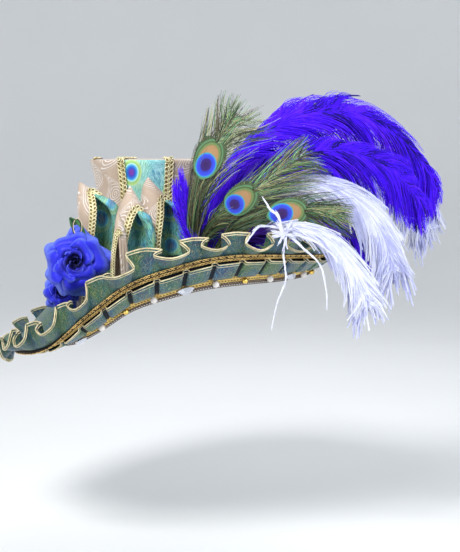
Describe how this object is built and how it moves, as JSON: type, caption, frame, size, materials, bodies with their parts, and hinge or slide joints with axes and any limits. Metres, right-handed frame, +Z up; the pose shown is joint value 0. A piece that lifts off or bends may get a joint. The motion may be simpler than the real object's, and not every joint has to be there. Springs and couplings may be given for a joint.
{
  "type": "frill brim hat",
  "caption": "Wide bell-crowned dress hat with a ruffled, braided and beaded brim, folded cloth points, cloth roses, peacock feathers and blue and white ostrich plumes.",
  "frame": {"origin": "centre of the head opening at the crown's foot, where the hat sits on the head", "axes": "+Z up the crown's axis, -X to the hat's front, -Y to the side that carries the feathers and roses"},
  "size_m": [0.687, 0.542, 0.3958],
  "materials": {
    "taupe_brocade": "woven brocade with pale scrolls",
    "peacock_print": "printed cotton, teal and green with fine gold lines",
    "gold_braid": "looped metallic yarn",
    "dark_gold_braid": "antique metallic yarn",
    "gold_bead": "metallized",
    "pearl": "pearlescent",
    "crystal": "clear, faceted",
    "lace": "openwork lace",
    "rose_cloth": "matt satin",
    "leaf_cloth": "printed satin",
    "blue_feather": "soft barbs, dyed",
    "white_feather": "soft barbs",
    "peacock_feather": "iridescent barbs"
  },
  "bodies": {
    "root": {"crown": "taupe_brocade", "seam_braid_1": "gold_braid", "seam_braid_2": "gold_braid", "seam_braid_3": "gold_braid", "seam_braid_4": "gold_braid", "seam_braid_5": "gold_braid", "seam_braid_6": "gold_braid", "brim": "peacock_print", "upper_frill": "peacock_print", "lower_frill": "peacock_print", "edge_gimp": "dark_gold_braid", "bead_braid": "gold_braid", "crystal_1": "crystal", "crystal_2": "crystal", "crystal_3": "crystal", "crystal_4": "crystal", "crystal_5": "crystal", "crystal_6": "crystal", "crystal_7": "crystal", "crystal_8": "crystal", "folded_point_left": "taupe_brocade", "folded_point_middle": "taupe_brocade", "folded_point_right": "taupe_brocade", "folded_point_front": "taupe_brocade", "point_gimp_left": "gold_braid", "point_gimp_middle": "gold_braid", "point_gimp_right": "gold_braid", "point_gimp_front": "gold_braid", "rose_large": "rose_cloth", "rose_small": "rose_cloth", "leaf": "leaf_cloth", "quill_pad": "peacock_print", "blue_plume_top": "blue_feather", "blue_plume_middle": "blue_feather", "blue_plume_lower": "blue_feather", "white_plume_top": "white_feather", "white_plume_middle": "white_feather", "white_plume_front": "white_feather", "white_tuft": "white_feather", "peacock_feather_upright": "peacock_feather", "peacock_feather_middle": "peacock_feather", "peacock_feather_low": "peacock_feather"}
  },
  "joints": []
}
